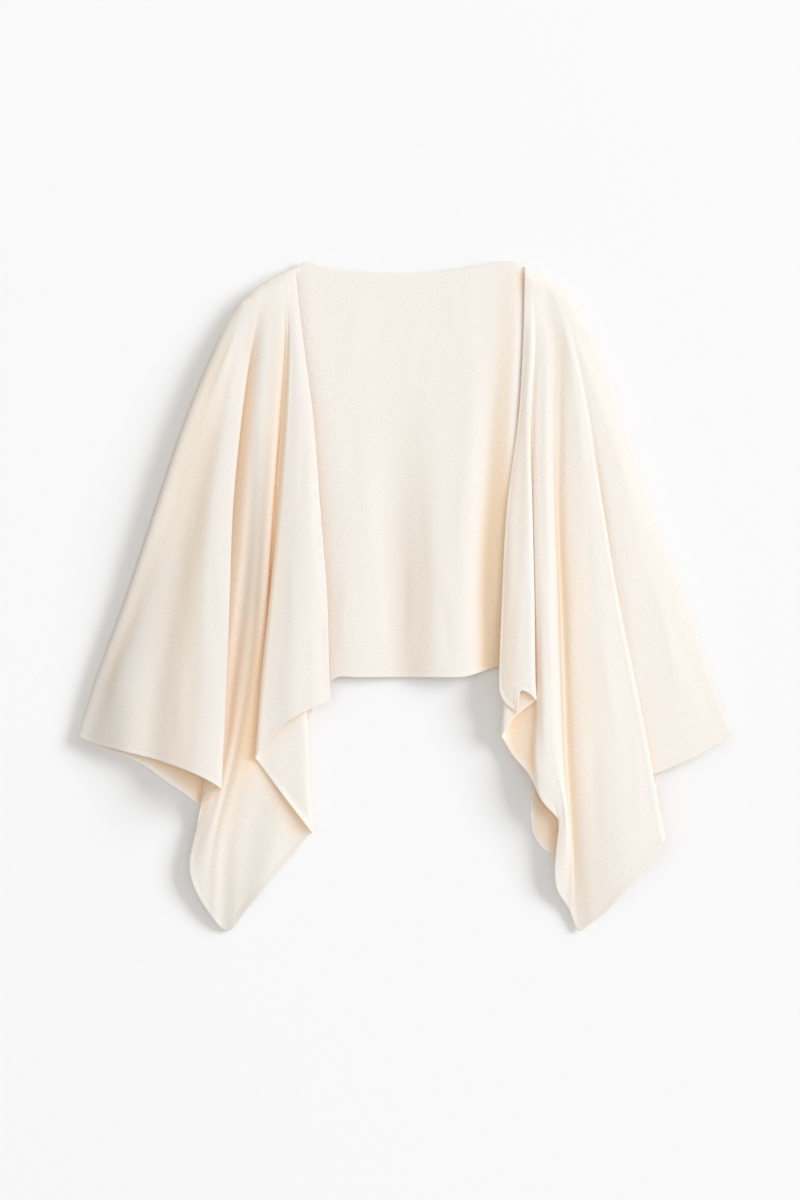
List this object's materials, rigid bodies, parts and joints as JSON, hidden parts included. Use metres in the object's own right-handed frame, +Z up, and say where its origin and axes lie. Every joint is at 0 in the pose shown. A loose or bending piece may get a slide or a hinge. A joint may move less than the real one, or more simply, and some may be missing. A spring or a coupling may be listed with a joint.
{
  "type": "knit cape",
  "caption": "Open-front knit cape laid flat: plain back, two pleated fronts whose corners hang past the hem, and narrow bands along the free edges.",
  "frame": {"origin": "middle of the laid garment in plan, on the surface it lies on", "axes": "+X along the arms towards the cape's side with the stacked narrow pleats, +Y from the hem to the neck, +Z up from the surface; the open front is on top"},
  "size_m": [0.8171, 0.8371, 0.0397],
  "materials": {
    "knit": "fine brushed cream knit, matte with a soft nap",
    "band": "narrow finished edge in the same cream knit, a little smoother"
  },
  "bodies": {
    "root": {"back_panel": "knit", "left_front": "knit", "right_front": "knit", "back_hem_band": "band", "back_left_cuff_band": "band", "back_right_cuff_band": "band", "left_hem_band": "band", "left_edge_band": "band", "right_hem_band": "band", "right_edge_band": "band"}
  },
  "joints": []
}
